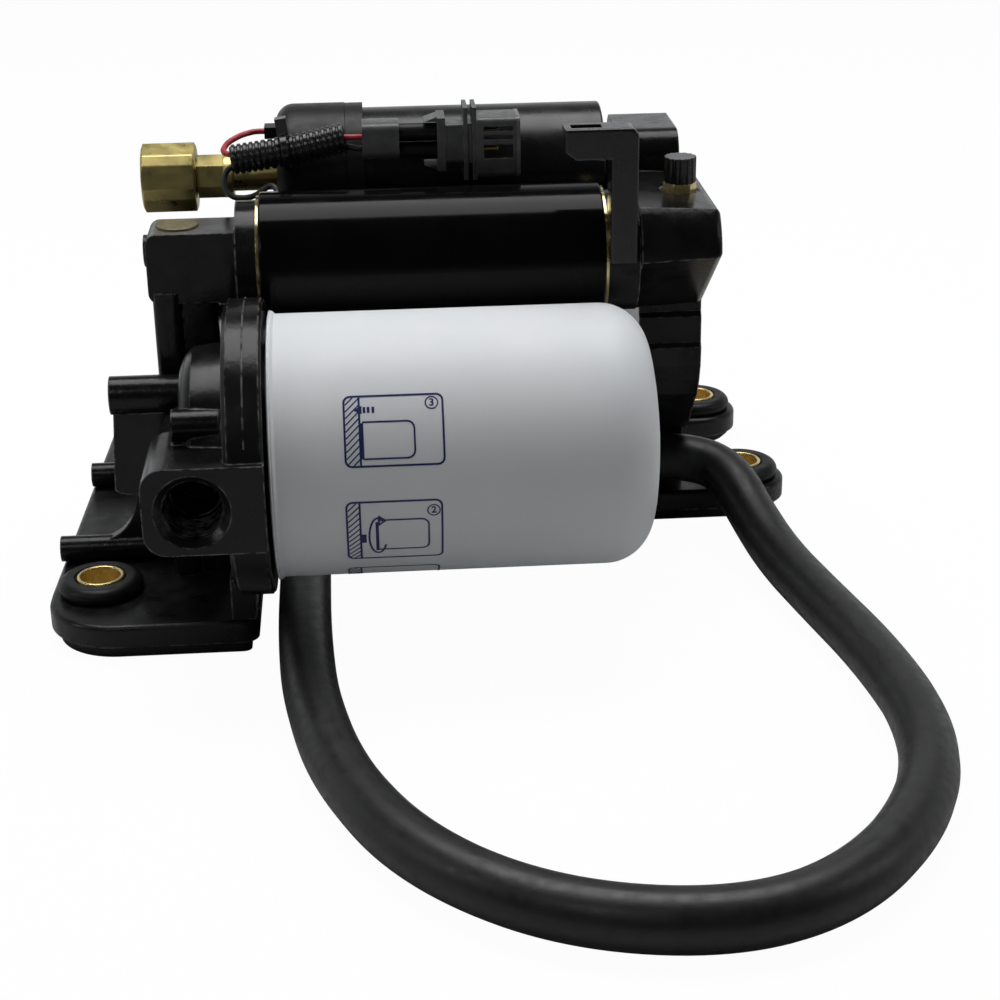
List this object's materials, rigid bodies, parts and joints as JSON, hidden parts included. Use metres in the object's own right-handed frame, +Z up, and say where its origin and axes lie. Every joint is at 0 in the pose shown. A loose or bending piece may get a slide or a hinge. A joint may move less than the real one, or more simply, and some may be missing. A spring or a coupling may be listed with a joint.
{
  "type": "electric fuel pump",
  "caption": "Electric fuel pumps in cans beside a spin-on filter, between black castings on a rubber-mounted base, with a short wiring lead and a cooling hose loop.",
  "frame": {"origin": "middle of the base's and inlet port's outline, on the surface the unit stands on", "axes": "+X to the right along the pumps and the filter, +Y from the filter to the back pump, +Z up"},
  "size_m": [0.31, 0.4327, 0.1829],
  "materials": {
    "casting": "gloss black powder coat",
    "base": "gloss black powder coat",
    "rubber": "matte",
    "hose_rubber": "matte",
    "brass": "satin",
    "can_gloss": "gloss",
    "can_satin": "satin",
    "filter_white": "gloss",
    "zinc_yellow": "satin plating",
    "plastic_black": "satin",
    "plastic_gray": "satin",
    "steel": "satin",
    "laminations": "matte",
    "copper": "satin",
    "magnet": "matte",
    "carbon": "matte",
    "cast_aluminium": "matte",
    "wire_red": "gloss",
    "wire_black": "gloss"
  },
  "bodies": {
    "module": {"back_brush_cap": "cast_aluminium", "back_brushes": "carbon", "back_can": "can_satin", "back_magnets": "magnet", "back_pump_head": "cast_aluminium", "base_plate": "base", "boot_band": "rubber", "cable_tie": "plastic_gray", "conduit": "plastic_black", "connector_body": "plastic_gray", "connector_cover": "plastic_gray", "connector_pins": "brass", "connector_seals": "rubber", "connector_shell": "plastic_gray", "filter_nipple": "steel", "front_brush_cap": "cast_aluminium", "front_brushes": "carbon", "front_can": "can_gloss", "front_magnets": "magnet", "front_pump_head": "cast_aluminium", "front_ring_left": "zinc_yellow", "front_ring_right": "zinc_yellow", "grommet_front_left": "rubber", "grommet_front_right": "rubber", "grommet_rear_left": "rubber", "grommet_rear_right": "rubber", "hose": "hose_rubber", "hose_clamp_left": "steel", "hose_clamp_right": "steel", "hose_stub_left": "cast_aluminium", "hose_stub_right": "cast_aluminium", "housing_plug": "brass", "housing_screws": "steel", "left_housing": "casting", "outlet_tube": "brass", "pump_boot": "rubber", "right_housing": "casting", "sleeve_front_left": "brass", "sleeve_front_right": "brass", "sleeve_rear_left": "brass", "sleeve_rear_right": "brass", "valve_body": "brass", "wire_black": "wire_black", "wire_red": "wire_red", "wiring_bracket": "plastic_black"},
    "filter_seal": {"filter_gasket": "rubber"},
    "filter": {"filter_can": "filter_white"},
    "coupling_nut": {"outlet_nut": "brass"},
    "cap_seal": {"valve_seal": "rubber"},
    "cap": {"valve_cap": "plastic_black"},
    "pin": {"valve_pin": "brass"},
    "front_armature": {"front_shaft": "steel", "front_rotor": "laminations", "front_commutator": "copper", "front_impeller": "plastic_black"},
    "back_armature": {"back_shaft": "steel", "back_rotor": "laminations", "back_commutator": "copper", "back_impeller": "plastic_black"}
  },
  "joints": [
    {"name": "front_pump_spin", "type": "hinge", "parent": "module", "child": "front_armature", "pos_m": [0, -0.0295, 0.1313], "axis": [1, 0, 0], "continuous": true},
    {"name": "back_pump_spin", "type": "hinge", "parent": "module", "child": "back_armature", "pos_m": [0, 0.0295, 0.1495], "axis": [1, 0, 0], "continuous": true},
    {"name": "filter_travel", "type": "slide", "parent": "module", "child": "filter_seal", "axis": [1, 0, 0], "range_m": [0, 0.011]},
    {"name": "filter_turn", "type": "hinge", "parent": "filter_seal", "child": "filter", "pos_m": [0, -0.0805, 0.0775], "axis": [1, 0, 0], "range_deg": [0, 2160]},
    {"name": "nut_swivel", "type": "hinge", "parent": "module", "child": "coupling_nut", "pos_m": [-0.1, 0.0295, 0.1495], "axis": [1, 0, 0], "continuous": true},
    {"name": "cap_travel", "type": "slide", "parent": "module", "child": "cap_seal", "axis": [0, 0, 1], "range_m": [0, 0.004]},
    {"name": "cap_turn", "type": "hinge", "parent": "cap_seal", "child": "cap", "pos_m": [0.0935, -0.0185, 0.1575], "axis": [0, 0, 1], "range_deg": [0, 1815]},
    {"name": "pin_press", "type": "slide", "parent": "module", "child": "pin", "axis": [0, 0, -1], "range_m": [0, 0.0012], "stiffness_N_per_m": 400, "springref_m": -0.002}
  ],
  "couplings": [
    {"joint": "filter_travel", "follows": "filter_turn", "m_per_rad": 0.00028871},
    {"joint": "cap_turn", "follows": "cap_travel", "rad_per_m": 7913.3}
  ]
}
